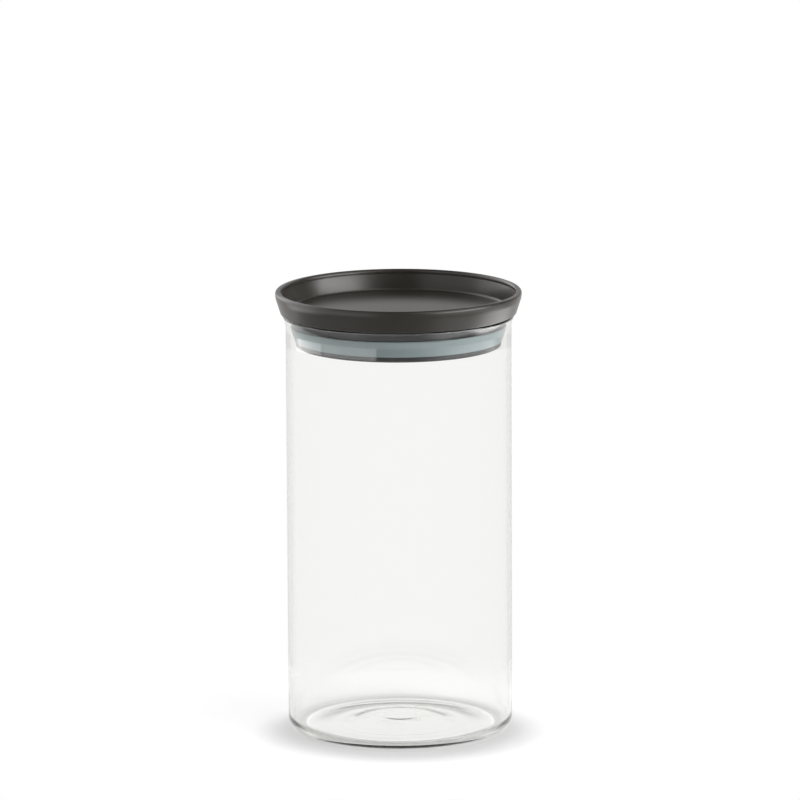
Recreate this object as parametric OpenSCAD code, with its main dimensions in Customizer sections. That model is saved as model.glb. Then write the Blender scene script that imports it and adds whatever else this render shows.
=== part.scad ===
// Lidded glass storage canister.
// A round thin-walled glass jar is closed by a push-fit lid. The lid is a
// dished plastic tray whose recess takes the base of a second jar, a hollow
// plug under it, and a flexible lip seal that sits in a groove round the plug.
// The origin is at the centre of the resting ring, with +Z up. Sizes are in mm.

/* [Jar] */
// Outside diameter of the glass wall
jar_d = 94.4; // [80:0.2:110]
// Height of the glass from the resting ring to the rim
jar_h = 177.1; // [100:0.1:240]
// Thickness of the glass wall
wall_t = 1.8; // [1.4:0.1:2.4]
// Thickness of the glass floor
floor_t = 2.4; // [2:0.1:3.5]
// Outside radius of the heel between wall and floor
heel_r = 5.5; // [4.5:0.1:7]
// Outside radius of the curve that flares the mouth
flare_r = 13.5; // [8:0.5:16]
// Lean of the glass wall at the rim, in degrees
flare_lean = 24; // [12:1:30]
// Width of the flat ring that the jar rests on
ring_w = 3; // [2:0.5:5]
// Radius of the push-up in the middle of the floor, at half its height
punt_r = 17; // [12:0.5:22]
// Height of the push-up
punt_h = 2.6; // [1:0.1:4]

/* [Lid tray] */
// Outside diameter of the lid at its rim bead
lid_d = 103; // [102:0.5:110]
// Height of the tray from the underside of its boss to the top of the rim bead
lid_h = 10.5; // [10:0.1:14]
// Depth of the stacking recess
recess_depth = 8.6; // [7:0.1:9]
// Radius of the rim bead's section
bead_r = 1.25; // [0.8:0.05:1.5]
// Radius of the curve that turns the skirt inwards below the bead
skirt_r = 8.5; // [6:0.5:10]
// Lean of the lower skirt, in degrees
skirt_lean = 18; // [12:1:22]
// Radius of the skirt's bottom corner
skirt_corner_r = 0.5; // [0.3:0.1:1]
// Radius of the boss that sits inside the glass rim
boss_r = 46; // [45.5:0.1:46.2]
// Height of that boss
boss_h = 1.1; // [0.6:0.1:1.2]
// Radius of the recess wall where it meets the floor
recess_r = 46.9; // [46:0.1:47.5]
// Fillet radius between the recess wall and its floor
recess_fillet_r = 1.2; // [0.6:0.1:2]
// Gap between the glass rim and the tray above it
seat_gap = 0.1; // [0.05:0.05:0.3]

/* [Plug and seal] */
// How far the plug reaches below the tray's boss
plug_depth = 12.3; // [11:0.1:16]
// Radius of the plug's upper shoulder
shoulder_r = 45; // [44:0.1:45]
// Height of the plug's upper shoulder
shoulder_h = 3.1; // [2.5:0.1:4]
// Radius of the plug's lower flange
flange_r = 42.9; // [42:0.1:43.5]
// Height of the plug's lower flange
flange_h = 2.3; // [2:0.1:3]
// Radius of the groove floor that the seal sits round
groove_r = 40.6; // [40:0.1:41]
// Radius of the seal at the foot of its lip
seal_foot_r = 43.3; // [42.5:0.1:44]
// Radius of the seal at the tip of its lip
seal_lip_r = 45.2; // [44.5:0.05:45.3]
// Thickness of the seal's lip
seal_lip_t = 1; // [0.8:0.1:1.6]
// Radial gap between the seal and the groove floor
seal_gap = 0.05; // [0.02:0.01:0.1]

/* [Hidden] */
$fn = 96;

// Jar
jar_r = jar_d / 2;
flare_centre = [jar_r + flare_r, jar_h - wall_t / 2 - (flare_r + wall_t / 2) * sin(flare_lean)];
rim_centre = flare_centre + (flare_r + wall_t / 2) * [-cos(flare_lean), sin(flare_lean)];
heel_in_r = heel_r - wall_t;
ring_out_r = jar_r - heel_r;
ring_in_r = ring_out_r - ring_w;
punt_run = 9; // half the width of the push-up's sloping side
floor_lift = 0.3; // how far the floor's underside rises from the ring to the push-up

// Lid tray
lid_z = jar_h + seat_gap - boss_h;
lid_r = lid_d / 2;
bead_centre = [lid_r - bead_r, lid_h - bead_r];
skirt_centre = [lid_r - skirt_r, lid_h - bead_r];
skirt_mid = skirt_centre + skirt_r * [cos(skirt_lean), -sin(skirt_lean)];
corner_z = boss_h + skirt_corner_r * (1 - sin(skirt_lean)); // where the straight skirt ends
corner_x = skirt_mid.x - (skirt_mid.y - corner_z) * tan(skirt_lean);
corner_centre = [corner_x - skirt_corner_r * cos(skirt_lean), boss_h + skirt_corner_r];
recess_z = lid_h - recess_depth;
fillet_centre = [recess_r - recess_fillet_r, recess_z + recess_fillet_r];
ledge_z = bead_centre.y - 0.6; // the step under the bead's inner edge
ledge_w = 0.35;
bead_in_r = bead_centre.x - bead_r;
spigot_r = 38; // ring under the tray that centres the plug
spigot_t = 1.8;
spigot_h = 4;

// Plug and seal
plug_z = lid_z - plug_depth;
flange_top = plug_z + flange_h;
groove_top = lid_z - shoulder_h;
plug_floor_t = 1.8;
plug_bore_r = spigot_r + 0.05;
plug_edge_r = 0.7; // rounded edges of shoulder and flange
seal_in_r = groove_r + seal_gap;
seal_body_r = seal_in_r + 1.2; // the band that grips the groove floor
seal_base_t = 1.4; // the web that joins the band to the lip
lip_angle = atan2(seal_lip_r - seal_foot_r, groove_top - flange_top - seal_lip_t);

// Points on an arc, with angles in degrees
function arc(centre, radius, from, to, steps = 10) =
    [for (i = [0:steps]) let (a = from + (to - from) * i / steps)
        centre + radius * [cos(a), sin(a)]];

// A smooth S-shaped slope between two points
function slope(from, to, steps = 12) =
    [for (i = [0:steps]) let (t = i / steps)
        [from.x + (to.x - from.x) * t, from.y + (to.y - from.y) * (1 - cos(180 * t)) / 2]];

// Glass jar: flared mouth, straight wall, round heel and a push-up in the floor
module glass_jar() {
    under = concat(
        slope([punt_r - punt_run, floor_lift + punt_h], [punt_r + punt_run, floor_lift]),
        slope([punt_r + punt_run, floor_lift], [ring_in_r, 0]));
    outside = concat(
        arc([ring_out_r, heel_r], heel_r, -90, 0),
        arc(flare_centre, flare_r, 180, 180 - flare_lean));
    rim = arc(rim_centre, wall_t / 2, -flare_lean, 180 - flare_lean, 12);
    inside = concat(
        arc(flare_centre, flare_r + wall_t, 180 - flare_lean, 180),
        arc([jar_r - wall_t - heel_in_r, floor_t + heel_in_r], heel_in_r, 0, -90));
    over = slope([punt_r + punt_run, floor_t], [punt_r - punt_run, floor_t + punt_h]);
    color([0.82, 0.9, 0.89, 0.35])
        rotate_extrude()
            polygon(concat([[0, floor_lift + punt_h]], under, outside, rim, inside, over,
                [[0, floor_t + punt_h]]));
}

// Lid tray: floor, leaning skirt with a bead round its rim, and below the floor
// a boss inside the glass rim and a spigot
module lid_tray() {
    skirt = concat(
        arc(corner_centre, skirt_corner_r, -90, -skirt_lean, 8),
        arc(skirt_centre, skirt_r, -skirt_lean, 0, 8));
    bead = arc(bead_centre, bead_r, 0, 180, 14);
    recess = concat(
        [[bead_in_r, ledge_z], [bead_in_r - ledge_w, ledge_z]],
        arc(fillet_centre, recess_fillet_r, 0, -90, 8));
    color([0.2, 0.19, 0.19])
        translate([0, 0, lid_z])
            rotate_extrude()
                polygon(concat(
                    [[0, 0], [spigot_r - spigot_t, 0], [spigot_r - spigot_t, -spigot_h],
                     [spigot_r, -spigot_h], [spigot_r, 0], [boss_r, 0], [boss_r, boss_h]],
                    skirt, bead, recess, [[0, recess_z]]));
}

// Plug: a closed cup with a shoulder, the seal's groove and a lower flange
module lid_plug() {
    color([0.15, 0.15, 0.16])
        rotate_extrude()
            polygon(concat(
                [[0, plug_z]],
                arc([flange_r - plug_edge_r, plug_z + plug_edge_r], plug_edge_r, -90, 0, 6),
                [[flange_r, flange_top], [groove_r, flange_top], [groove_r, groove_top]],
                arc([shoulder_r - plug_edge_r, groove_top + plug_edge_r], plug_edge_r, -90, 0, 6),
                [[shoulder_r, lid_z], [plug_bore_r, lid_z], [plug_bore_r, plug_z + plug_floor_t],
                 [0, plug_z + plug_floor_t]]));
}

// Seal: a band round the groove with a lip that leans out to the glass
module seal_ring() {
    tip = [seal_lip_r - seal_lip_t / 2, groove_top - seal_lip_t / 2];
    color([0.62, 0.68, 0.7])
        rotate_extrude()
            polygon(concat(
                [[seal_in_r, flange_top], [seal_foot_r, flange_top]],
                arc(tip, seal_lip_t / 2, -lip_angle, 180 - lip_angle),
                [[seal_foot_r - seal_lip_t, flange_top + seal_base_t],
                 [seal_body_r, flange_top + seal_base_t], [seal_body_r, groove_top],
                 [seal_in_r, groove_top]]));
}

glass_jar();
lid_tray();
lid_plug();
seal_ring();
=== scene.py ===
"""Lidded glass canister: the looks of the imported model, in metres, +Z up."""
import math

import bpy
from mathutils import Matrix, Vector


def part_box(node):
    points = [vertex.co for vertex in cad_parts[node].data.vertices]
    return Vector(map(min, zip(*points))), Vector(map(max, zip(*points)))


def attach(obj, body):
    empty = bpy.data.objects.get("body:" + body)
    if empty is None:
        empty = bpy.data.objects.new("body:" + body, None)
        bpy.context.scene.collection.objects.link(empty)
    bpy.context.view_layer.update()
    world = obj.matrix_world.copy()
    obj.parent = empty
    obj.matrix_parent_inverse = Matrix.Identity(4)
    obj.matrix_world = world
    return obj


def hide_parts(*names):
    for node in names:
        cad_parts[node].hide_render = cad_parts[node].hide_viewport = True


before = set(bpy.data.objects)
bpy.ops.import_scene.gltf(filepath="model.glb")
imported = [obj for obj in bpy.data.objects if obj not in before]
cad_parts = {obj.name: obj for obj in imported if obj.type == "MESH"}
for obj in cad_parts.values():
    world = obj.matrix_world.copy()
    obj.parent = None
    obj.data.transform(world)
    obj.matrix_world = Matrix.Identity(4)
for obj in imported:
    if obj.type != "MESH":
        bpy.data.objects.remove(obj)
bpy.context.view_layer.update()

# ---------------------------------------------------------------- sizes from the frame
JAR_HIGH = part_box("glass_jar")[1]
TRAY_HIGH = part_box("lid_tray")[1]
PLUG_LOW, PLUG_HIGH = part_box("lid_plug")
SEAL_LOW, SEAL_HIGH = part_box("seal_ring")
MM = 0.001

JAR_H = JAR_HIGH.z
LID_TOP = TRAY_HIGH.z
LID_R = TRAY_HIGH.x
UNDERSIDE = PLUG_HIGH.z  # the underside of the tray's boss, where the plug joins it
TURNS = 256  # steps round a turned piece

# ---------------------------------------------------------------- light
ROOM = 0.2  # the dim room between the lights
# The floor: its own light, its albedo and its radius in metres. Between two distances from the axis,
# in mm, it turns into plain white light.
FLOOR_GLOW = 0.48
FLOOR_ALBEDO = 0.7
FLOOR_R = 0.14
FLOOR_ENDS = (75, 130)
# Softboxes and lit walls. Each is two edges round from the camera's side and two edges up from the
# horizon, an edge being (angle, softness) in degrees, and then a strength.
SOFTBOXES = [
    ((38, 24), (90, 3), (-2, 12), (24, 20), 7.5),  # softbox on the right
    ((40, 60), (118, 20), (-24, 8), (-2, 12), 1.45),  # white card below it
    ((98, 20), (150, 20), (-50, 10), (-24, 8), 3.4),  # lit table behind it
    ((20, 20), (112, 20), (30, 10), (64, 14), 1.6),  # spill above it
    ((-84.5, 2), (-23, 2), (-24, 8), (62, 10), 0.8),  # wall on the left
    ((-84.5, 2), (-23, 2), (-20, 6), (-4, 8), 0.9),  # white card in front of it
    ((-155, 10), (-86.5, 2), (-4, 8), (48, 10), 1.9),  # softbox behind on the left
    ((-128, 10), (-86.5, 2), (-26, 6), (-4, 8), 2.7),  # white card below it
    ((-190, 1), (-140, 20), (14, 8), (36, 8), 1.05),  # strip behind, its left half
    ((140, 20), (190, 1), (14, 8), (36, 8), 1.05),  # and its right half
    ((-190, 1), (-128, 10), (-50, 10), (5, 8), 0.6),  # foot of the back wall, its left half
    ((130, 30), (190, 1), (-50, 10), (5, 8), 0.6),  # and its right half
    ((45, 40), (190, 1), (-95, 1), (-36, 6), 1.2),  # table on the right
    ((-190, 1), (-45, 40), (-95, 1), (-36, 6), 0.4),  # table on the left
    ((-60, 40), (60, 40), (-95, 1), (-24, 8), 0.2),  # table in front
]
# The far part of the table: a plain strip between two edges up from the horizon, which lights every
# piece. Its upper edge rises a little towards the back, by STRIP_RISE degrees.
STRIP = (-14.6, 0.1), (-10.758, 0.01)
STRIP_RISE = 0.055
STRIP_GLOW = 0.9
# Smooth glass mirrors the same plain tone between these edges too.
PLAIN_BELOW = (-28, 8), STRIP[1]
PLAIN_ABOVE = (-10.3, 0.1), (-3, 4)
GLASS_DIMS = 0.05  # how much darker backdrop and floor are when they're seen through glass
# The jar's soft shadow, painted into the floor's colour and glow, whose middle lies a little forward
# and to the left, in metres: how bright the floor is in it, and the distances in mm from its middle
# between which it fades.
SHADOW_AT = (-0.001, -0.01)
SHADOW_LEVEL = 0.68
SHADOW_FADE = (42, 65)
# Painted light: how bright the floor's colour and glow are painted under the glass, which lets light
# through, and under the rounded heel, each with the distances in mm from the axis between which
# that ends.
PAINTED_LIGHT_UNDER_JAR = 1.26
PAINTED_LIGHT_UNDER_JAR_ENDS = (38, 43)
PAINTED_LIGHT_UNDER_HEEL = 0.75
PAINTED_LIGHT_UNDER_HEEL_ENDS = (45.5, 47.6)

# ---------------------------------------------------------------- plastics
LID_COLOUR = (0.022, 0.0185, 0.0145)
PLUG_COLOUR = (0.012, 0.012, 0.013)
PLASTIC_ROUGH = (0.285, 0.315)  # lowest and highest roughness
PLASTIC_GRAIN = 2500  # bumps per metre


# ---------------------------------------------------------------- outlines
def arc(centre, radius, start, end, steps=10):
    """Points on an arc, from one angle to another in degrees."""
    points = []
    for i in range(steps + 1):
        a = math.radians(start + (end - start) * i / steps)
        points.append((centre[0] + radius * math.cos(a), centre[1] + radius * math.sin(a)))
    return points


def slope(start, end, steps=16):
    """A smooth S-shaped slope between two points."""
    points = []
    for i in range(steps + 1):
        t = i / steps
        rise = (1 - math.cos(math.pi * t)) / 2
        points.append((start[0] + (end[0] - start[0]) * t, start[1] + (end[1] - start[1]) * rise))
    return points


def straight(start, end, steps):
    """Points between two ends, ends left out, so that long faces aren't slivers."""
    return [
        (start[0] + (end[0] - start[0]) * i / steps, start[1] + (end[1] - start[1]) * i / steps)
        for i in range(1, steps)
    ]


def turned(name, outline, sharp_deg):
    """A closed solid of revolution about Z from an outline of (radius, height) points.
    Points on the axis become one vertex each, so the mesh has no slit or sliver."""
    verts, rings = [], []
    for r, z in outline:
        if r < 1e-7:
            rings.append([len(verts)] * TURNS)
            verts.append((0.0, 0.0, z))
            continue
        start = len(verts)
        for k in range(TURNS):
            a = 2 * math.pi * k / TURNS
            verts.append((r * math.cos(a), r * math.sin(a), z))
        rings.append(list(range(start, start + TURNS)))
    faces = []
    on_axis = outline[0][0] < 1e-7
    pairs = list(zip(rings, rings[1:] + ([] if on_axis else rings[:1])))
    for low, high in pairs:
        for k in range(TURNS):
            n = (k + 1) % TURNS
            ring = [low[k], low[n], high[n], high[k]]
            face = list(dict.fromkeys(ring))
            if len(face) > 2:
                faces.append(face)
    mesh = bpy.data.meshes.new(name)
    mesh.from_pydata(verts, [], faces)
    mesh.validate()
    mesh.shade_smooth()
    mesh.set_sharp_from_angle(angle=math.radians(sharp_deg))
    obj = bpy.data.objects.new(name, mesh)
    bpy.context.scene.collection.objects.link(obj)
    return obj


# ---------------------------------------------------------------- materials
def new_material(name):
    """A node material: the material, its nodes, its links and its shader."""
    mat = bpy.data.materials.new(name)
    mat.use_nodes = True
    return mat, mat.node_tree.nodes, mat.node_tree.links, mat.node_tree.nodes["Principled BSDF"]


def noise(nodes, links, scale, detail):
    """Noise in object space, with scale in bumps per metre."""
    coords = nodes.new("ShaderNodeTexCoord")
    tex = nodes.new("ShaderNodeTexNoise")
    tex.inputs["Scale"].default_value = scale
    tex.inputs["Detail"].default_value = detail
    links.new(coords.outputs["Object"], tex.inputs["Vector"])
    return tex


def mapped(nodes, links, source, low, high):
    """The noise value stretched from its usual range, 0.3 to 0.7, to low..high."""
    ranged = nodes.new("ShaderNodeMapRange")
    ranged.inputs["From Min"].default_value = 0.3
    ranged.inputs["From Max"].default_value = 0.7
    ranged.inputs["To Min"].default_value = low
    ranged.inputs["To Max"].default_value = high
    links.new(source, ranged.inputs["Value"])
    return ranged.outputs["Result"]


def bump(nodes, links, height, shader, strength, distance):
    """A bump on the shader's normal, with distance in metres."""
    node = nodes.new("ShaderNodeBump")
    node.inputs["Strength"].default_value = strength
    node.inputs["Distance"].default_value = distance
    links.new(height, node.inputs["Height"])
    links.new(node.outputs["Normal"], shader.inputs["Normal"])


def glass_material():
    """Clear glass that absorbs a little light, blue most of all."""
    mat, nodes, links, shader = new_material("jar_glass")
    shader.inputs["Base Color"].default_value = (1, 1, 1, 1)
    shader.inputs["Roughness"].default_value = 0.0
    shader.inputs["IOR"].default_value = 1.47
    shader.inputs["Transmission Weight"].default_value = 1.0
    volume = nodes.new("ShaderNodeVolumeAbsorption")
    volume.inputs["Color"].default_value = (0.64, 0.65, 0.5, 1)
    volume.inputs["Density"].default_value = 25.0
    links.new(volume.outputs["Volume"], nodes["Material Output"].inputs["Volume"])
    return mat


def plastic_material(name, colour):
    """Dark moulded plastic with a fine grain; its tone and roughness vary a little."""
    mat, nodes, links, shader = new_material(name)
    ramp = nodes.new("ShaderNodeMix")
    ramp.data_type = "RGBA"
    ramp.inputs["A"].default_value = (*[c * 0.93 for c in colour], 1)
    ramp.inputs["B"].default_value = (*[c * 1.07 for c in colour], 1)
    cloud = noise(nodes, links, 60, 4)
    links.new(cloud.outputs["Fac"], ramp.inputs["Factor"])
    links.new(ramp.outputs["Result"], shader.inputs["Base Color"])
    rough = mapped(nodes, links, cloud.outputs["Fac"], *PLASTIC_ROUGH)
    links.new(rough, shader.inputs["Roughness"])
    fine = noise(nodes, links, PLASTIC_GRAIN, 2)
    bump(nodes, links, fine.outputs["Fac"], shader, 0.12, 0.00008)
    shader.inputs["IOR"].default_value = 1.49
    return mat


def silicone_material():
    """Pale grey-blue silicone, drawn opaque."""
    mat, nodes, links, shader = new_material("seal_silicone")
    tint = nodes.new("ShaderNodeMix")
    tint.data_type = "RGBA"
    tint.inputs["A"].default_value = (0.315, 0.39, 0.415, 1)
    tint.inputs["B"].default_value = (0.355, 0.43, 0.445, 1)
    cloud = noise(nodes, links, 90, 3)
    links.new(cloud.outputs["Fac"], tint.inputs["Factor"])
    links.new(tint.outputs["Result"], shader.inputs["Base Color"])
    links.new(mapped(nodes, links, cloud.outputs["Fac"], 0.3, 0.4), shader.inputs["Roughness"])
    shader.inputs["IOR"].default_value = 1.41
    return mat


# ---------------------------------------------------------------- pieces
def make_jar():
    """The glass: flared mouth, straight wall, round heel and a push-up in the floor."""
    wall, floor_t, heel, lean, flare = 1.8 * MM, 2.4 * MM, 5.5 * MM, 24, 13.5 * MM
    radius = 47.2 * MM
    rise = math.sin(math.radians(lean))
    flare_at = (radius + flare, JAR_H - wall / 2 - (flare + wall / 2) * rise)
    rim_at = (
        flare_at[0] - (flare + wall / 2) * math.cos(math.radians(lean)),
        flare_at[1] + (flare + wall / 2) * rise,
    )
    heel_in = heel - wall
    ring_out = radius - heel
    ring_in = ring_out - 3 * MM
    punt_out, punt_in, punt_h, lift = 26 * MM, 8 * MM, 2.6 * MM, 0.3 * MM
    outline = [(0, lift + punt_h)]
    outline += slope((punt_in, lift + punt_h), (punt_out, lift))
    outline += slope((punt_out, lift), (ring_in, 0))[1:]
    outline += arc((ring_out, heel), heel, -90, 0, 20)
    outline += straight((radius, heel), (radius, flare_at[1]), 24)
    # a short last step keeps the shading of the wall straight up to the flare
    outline += [(radius, flare_at[1] - 0.2 * MM)]
    outline += arc(flare_at, flare, 180, 180 - lean, 14)
    outline += arc(rim_at, wall / 2, -lean, 180 - lean, 18)[1:-1]
    outline += arc(flare_at, flare + wall, 180 - lean, 180, 14)
    inner = radius - wall
    outline += [(inner, flare_at[1] - 0.2 * MM)]
    outline += straight((inner, flare_at[1]), (inner, floor_t + heel_in), 24)
    outline += arc((inner - heel_in, floor_t + heel_in), heel_in, 0, -90, 16)
    outline += slope((punt_out, floor_t), (punt_in, floor_t + punt_h))
    outline += [(0, floor_t + punt_h)]
    obj = turned("jar_body", outline, 60)
    obj.data.materials.append(glass_material())
    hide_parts("glass_jar")
    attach(obj, "jar")


def make_tray(plastic):
    """The lid's top: recess, leaning skirt with its bead, and a boss and a spigot underneath."""
    bead, skirt, lean, corner = 1.25 * MM, 8.5 * MM, math.radians(18), 0.5 * MM
    boss, seat_z = 46 * MM, UNDERSIDE + 1.1 * MM
    bead_at = (LID_R - bead, LID_TOP - bead)
    skirt_at = (LID_R - skirt, LID_TOP - bead)
    mid = (skirt_at[0] + skirt * math.cos(lean), skirt_at[1] - skirt * math.sin(lean))
    corner_z = seat_z + corner * (1 - math.sin(lean))
    corner_x = mid[0] - (mid[1] - corner_z) * math.tan(lean)
    corner_at = (corner_x - corner * math.cos(lean), seat_z + corner)
    floor_z, fillet, wall_foot = LID_TOP - 8.6 * MM, 1.2 * MM, 46.9 * MM
    ledge_z, ledge = bead_at[1] - 0.6 * MM, 0.35 * MM
    inner = bead_at[0] - bead
    spigot, spigot_t, spigot_h = 38 * MM, 1.8 * MM, 4 * MM
    outline = [(0, UNDERSIDE), (spigot - spigot_t, UNDERSIDE)]
    outline += [(spigot - spigot_t, UNDERSIDE - spigot_h), (spigot, UNDERSIDE - spigot_h)]
    outline += [(spigot, UNDERSIDE), (boss, UNDERSIDE), (boss, seat_z)]
    outline += arc(corner_at, corner, -90, -math.degrees(lean), 12)
    outline += arc(skirt_at, skirt, -math.degrees(lean), 0, 14)
    outline += arc(bead_at, bead, 0, 180, 22)[1:]
    outline += [(inner, ledge_z), (inner - ledge, ledge_z)]
    outline += arc((wall_foot - fillet, floor_z + fillet), fillet, 0, -90, 10)
    outline += [(0, floor_z)]
    obj = turned("lid_top", outline, 35)
    obj.data.materials.append(plastic)
    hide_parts("lid_tray")
    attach(obj, "lid")


def make_plug(plastic):
    """The closed cup under the tray: shoulder, groove and flange, with rounded edges."""
    low, high = PLUG_LOW.z, PLUG_HIGH.z
    shoulder, flange, groove, bore = PLUG_HIGH.x, 42.9 * MM, 40.6 * MM, 38.05 * MM
    groove_low, groove_high, edge, floor_z = SEAL_LOW.z, SEAL_HIGH.z, 0.7 * MM, low + 1.8 * MM
    outline = [(0, low)]
    outline += arc((flange - edge, low + edge), edge, -90, 0, 8)
    outline += [(flange, groove_low), (groove, groove_low), (groove, groove_high)]
    outline += arc((shoulder - edge, groove_high + edge), edge, -90, 0, 8)
    outline += [(shoulder, high), (bore, high), (bore, floor_z), (0, floor_z)]
    obj = turned("plug_cup", outline, 35)
    obj.data.materials.append(plastic)
    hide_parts("lid_plug")
    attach(obj, "lid")


def make_seal(silicone):
    """The band round the groove and the lip that leans out to the glass."""
    low, high = SEAL_LOW.z, SEAL_HIGH.z
    lip_r, lip_t, foot, inner = SEAL_HIGH.x, 1.0 * MM, 43.3 * MM, 40.65 * MM
    web, body = low + 1.4 * MM, 41.85 * MM
    lean = math.degrees(math.atan2(lip_r - foot, high - low - lip_t))
    tip = (lip_r - lip_t / 2, high - lip_t / 2)
    outline = [(inner, low), (foot, low)]
    outline += arc(tip, lip_t / 2, -lean, 180 - lean, 12)
    outline += [(foot - lip_t, web), (body, web), (body, high), (inner, high)]
    obj = turned("seal_lip", outline, 35)
    obj.data.materials.append(silicone)
    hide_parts("seal_ring")
    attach(obj, "lid")


def make_stage():
    """A pale floor on a flat disc, with a painted soft shadow and a painted brighter patch under the
    jar in its material.
    """
    mesh = bpy.data.meshes.new("floor")
    edge = [2 * math.pi * k / 96 for k in range(96)]
    verts = [(FLOOR_R * math.cos(a), FLOOR_R * math.sin(a), 0) for a in edge]
    mesh.from_pydata(verts, [], [range(96)])
    floor = bpy.data.objects.new("floor", mesh)
    bpy.context.scene.collection.objects.link(floor)
    mat, nodes, links, shader = new_material("floor_white")
    shader.inputs["Roughness"].default_value = 0.9
    shader.inputs["Specular IOR Level"].default_value = 0.0
    shader.inputs["Emission Strength"].default_value = FLOOR_GLOW
    coords = nodes.new("ShaderNodeTexCoord")

    def distance_from(at):
        away = nodes.new("ShaderNodeVectorMath")
        away.operation = "DISTANCE"
        links.new(coords.outputs["Object"], away.inputs[0])
        away.inputs[1].default_value = (*at, 0)
        return away.outputs["Value"]

    def ranged(value, start, end, low, high):
        """A smooth change from low to high, between two distances in mm."""
        node = nodes.new("ShaderNodeMapRange")
        node.interpolation_type = "SMOOTHSTEP"
        node.inputs["From Min"].default_value = start * MM
        node.inputs["From Max"].default_value = end * MM
        node.inputs["To Min"].default_value = low
        node.inputs["To Max"].default_value = high
        links.new(value, node.inputs["Value"])
        return node.outputs["Result"]

    from_axis = distance_from((0, 0))
    # the floor's painted brightness: the painted light under the jar or the painted shadow round it,
    # whichever is brighter
    shade = nodes.new("ShaderNodeMath")
    shade.operation = "MAXIMUM"
    # painted light: the floor is painted brighter under the glass and under the heel
    under = nodes.new("ShaderNodeMath")
    under.operation = "MAXIMUM"
    links.new(ranged(from_axis, *PAINTED_LIGHT_UNDER_JAR_ENDS, PAINTED_LIGHT_UNDER_JAR, 0), under.inputs[0])
    links.new(ranged(from_axis, *PAINTED_LIGHT_UNDER_HEEL_ENDS, PAINTED_LIGHT_UNDER_HEEL, 0), under.inputs[1])
    links.new(under.outputs[0], shade.inputs[0])
    # the painted shadow round the jar
    shadow = ranged(distance_from(SHADOW_AT), *SHADOW_FADE, SHADOW_LEVEL, 1)
    links.new(shadow, shade.inputs[1])
    # the painted light and shadow go into the floor's glow and, times its albedo, into its colour
    links.new(shade.outputs[0], shader.inputs["Emission Color"])
    lit = nodes.new("ShaderNodeMath")
    lit.operation = "MULTIPLY"
    lit.inputs[1].default_value = FLOOR_ALBEDO
    links.new(shade.outputs[0], lit.inputs[0])
    links.new(lit.outputs[0], shader.inputs["Base Color"])
    # towards its edge the floor turns into plain white light, so that the edge doesn't show
    plain = nodes.new("ShaderNodeEmission")
    blend = nodes.new("ShaderNodeMixShader")
    links.new(ranged(from_axis, *FLOOR_ENDS, 0, 1), blend.inputs[0])
    links.new(shader.outputs[0], blend.inputs[1])
    links.new(plain.outputs[0], blend.inputs[2])
    # the floor is dimmed through glass as the backdrop is
    through = nodes.new("ShaderNodeLightPath").outputs["Transmission Depth"]
    dimmed = nodes.new("ShaderNodeMapRange")
    dimmed.inputs["To Max"].default_value = GLASS_DIMS
    links.new(through, dimmed.inputs["Value"])
    dim = nodes.new("ShaderNodeMixShader")
    links.new(dimmed.outputs["Result"], dim.inputs[0])
    links.new(blend.outputs[0], dim.inputs[1])
    links.new(dim.outputs[0], nodes["Material Output"].inputs["Surface"])
    mesh.materials.append(mat)


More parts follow.
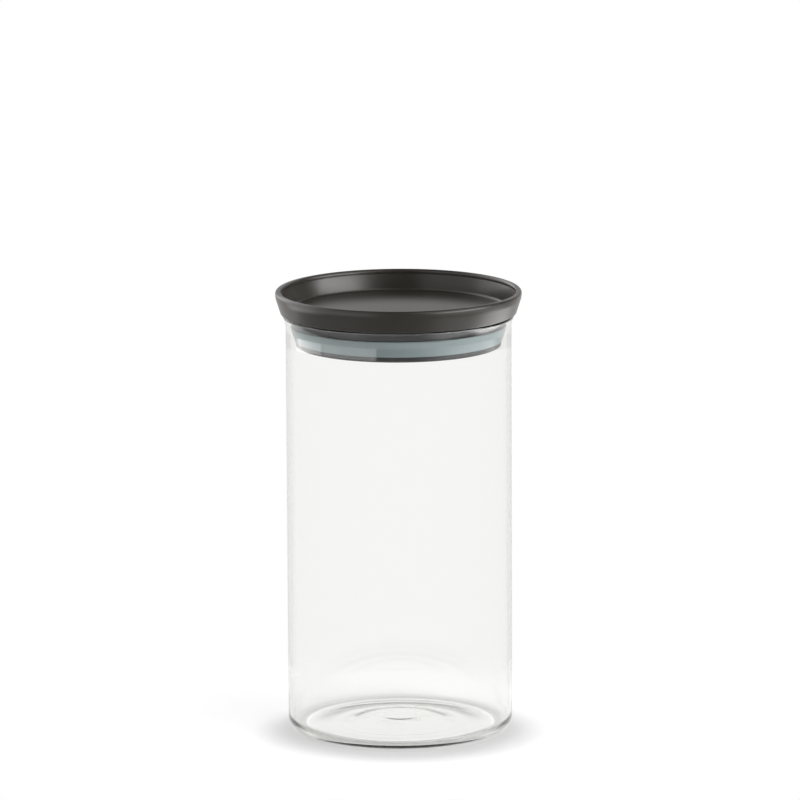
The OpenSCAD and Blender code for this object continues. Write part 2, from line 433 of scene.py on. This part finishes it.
def make_world():
    """A studio all round the object: a dim room with softboxes, lit walls and a plain table.
    It lights the object, which mirrors it. What is seen directly is plain white, and so, a little
    darker, is what is seen through glass, with or without mirroring in between, when the light has
    passed three surfaces or more. Smooth glass mirrors a plain table below the horizon."""
    world = bpy.data.worlds.new("studio")
    bpy.context.scene.world = world
    world.use_nodes = True
    nodes, links = world.node_tree.nodes, world.node_tree.links

    def math_node(operation, a, b=0.0):
        node = nodes.new("ShaderNodeMath")
        node.operation = operation
        for socket, value in zip(node.inputs, (a, b)):
            if isinstance(value, (int, float)):
                socket.default_value = value
            else:
                links.new(value, socket)
        return node.outputs[0]

    def step_up(value, at, soft):
        """0 below at, 1 above it, over a soft edge."""
        node = nodes.new("ShaderNodeMapRange")
        node.interpolation_type = "SMOOTHSTEP"
        node.inputs["From Min"].default_value = at - soft / 2
        node.inputs["From Max"].default_value = at + soft / 2
        links.new(value, node.inputs["Value"])
        return node.outputs["Result"]

    def window(value, low, high):
        """1 between two (edge, softness) pairs."""
        above = math_node("SUBTRACT", 1.0, step_up(value, *high))
        return math_node("MULTIPLY", step_up(value, *low), above)

    coords = nodes.new("ShaderNodeTexCoord")
    parts = nodes.new("ShaderNodeSeparateXYZ")
    links.new(coords.outputs["Generated"], parts.inputs["Vector"])
    x, y, z = parts.outputs
    # degrees round from the camera's side, positive to the right, and degrees above the horizon
    round_z = math_node("ARCTAN2", x, math_node("MULTIPLY", y, -1.0))
    azimuth = math_node("MULTIPLY", round_z, 180 / math.pi)
    height = math_node("MULTIPLY", math_node("ARCSINE", z), 180 / math.pi)

    def covered(light, mask):
        """The light with the plain tone of the table over it where the mask is 1."""
        left_over = math_node("MULTIPLY", light, math_node("SUBTRACT", 1.0, mask))
        return math_node("ADD", left_over, math_node("MULTIPLY", mask, STRIP_GLOW))

    total = None
    for left, right, low, high, strength in SOFTBOXES:
        box = math_node("MULTIPLY", window(azimuth, left, right), window(height, low, high))
        box = math_node("MULTIPLY", box, strength)
        total = box if total is None else math_node("ADD", total, box)
    total = math_node("ADD", total, ROOM)
    tilt = math_node("MULTIPLY", math_node("COSINE", math_node("RADIANS", azimuth)), STRIP_RISE)
    tilted = math_node("ADD", height, tilt)
    total = covered(total, window(tilted, *STRIP))

    light_path = nodes.new("ShaderNodeLightPath")
    diffuse = light_path.outputs["Diffuse Depth"]
    through = light_path.outputs["Transmission Depth"]
    bounces = math_node("ADD", diffuse, light_path.outputs["Glossy Depth"])
    direct = math_node("LESS_THAN", bounces, 0.5)
    not_diffuse = math_node("LESS_THAN", diffuse, 0.5)
    # what smooth glass mirrors below the horizon is as plain as the strip, so that the jar looks
    # alike from most sides; a narrow slice just above the strip shows the white cards
    plain = math_node("MAXIMUM", window(tilted, *PLAIN_BELOW), window(height, *PLAIN_ABOVE))
    plain = math_node("MULTIPLY", plain, light_path.outputs["Is Singular Ray"])
    total = covered(total, math_node("MULTIPLY", plain, not_diffuse))
    inside = math_node("MULTIPLY", math_node("GREATER_THAN", through, 2.5), not_diffuse)
    seen = math_node("MAXIMUM", direct, inside)
    strength = nodes.new("ShaderNodeMix")
    links.new(seen, strength.inputs["Factor"])
    links.new(total, strength.inputs["A"])
    dimmed = math_node("MULTIPLY", math_node("GREATER_THAN", through, 0.5), GLASS_DIMS)
    links.new(math_node("SUBTRACT", 1.0, dimmed), strength.inputs["B"])
    back = nodes["Background"]
    back.inputs["Color"].default_value = (1, 1, 1, 1)
    links.new(strength.outputs["Result"], back.inputs["Strength"])


def make_camera():
    """A long lens from a little above, with the angles in degrees and the focal length in mm."""
    distance, height, pitch, roll, focal = 3.0, 0.729, 11.113, -0.27, 328.6
    data = bpy.data.cameras.new("camera")
    data.sensor_width = 36
    data.lens = focal
    cam = bpy.data.objects.new("camera", data)
    cam.location = (0.00045, -distance, height)
    cam.rotation_mode = "ZYX"
    cam.rotation_euler = (math.radians(90 - pitch), 0, math.radians(roll))
    bpy.context.scene.collection.objects.link(cam)
    bpy.context.scene.camera = cam


bpy.context.scene.view_settings.view_transform = "Standard"
make_camera()
make_stage()
make_world()
make_jar()
make_tray(plastic_material("lid_plastic", LID_COLOUR))
make_plug(plastic_material("plug_plastic", PLUG_COLOUR))
make_seal(silicone_material())

bpy.context.view_layer.update()
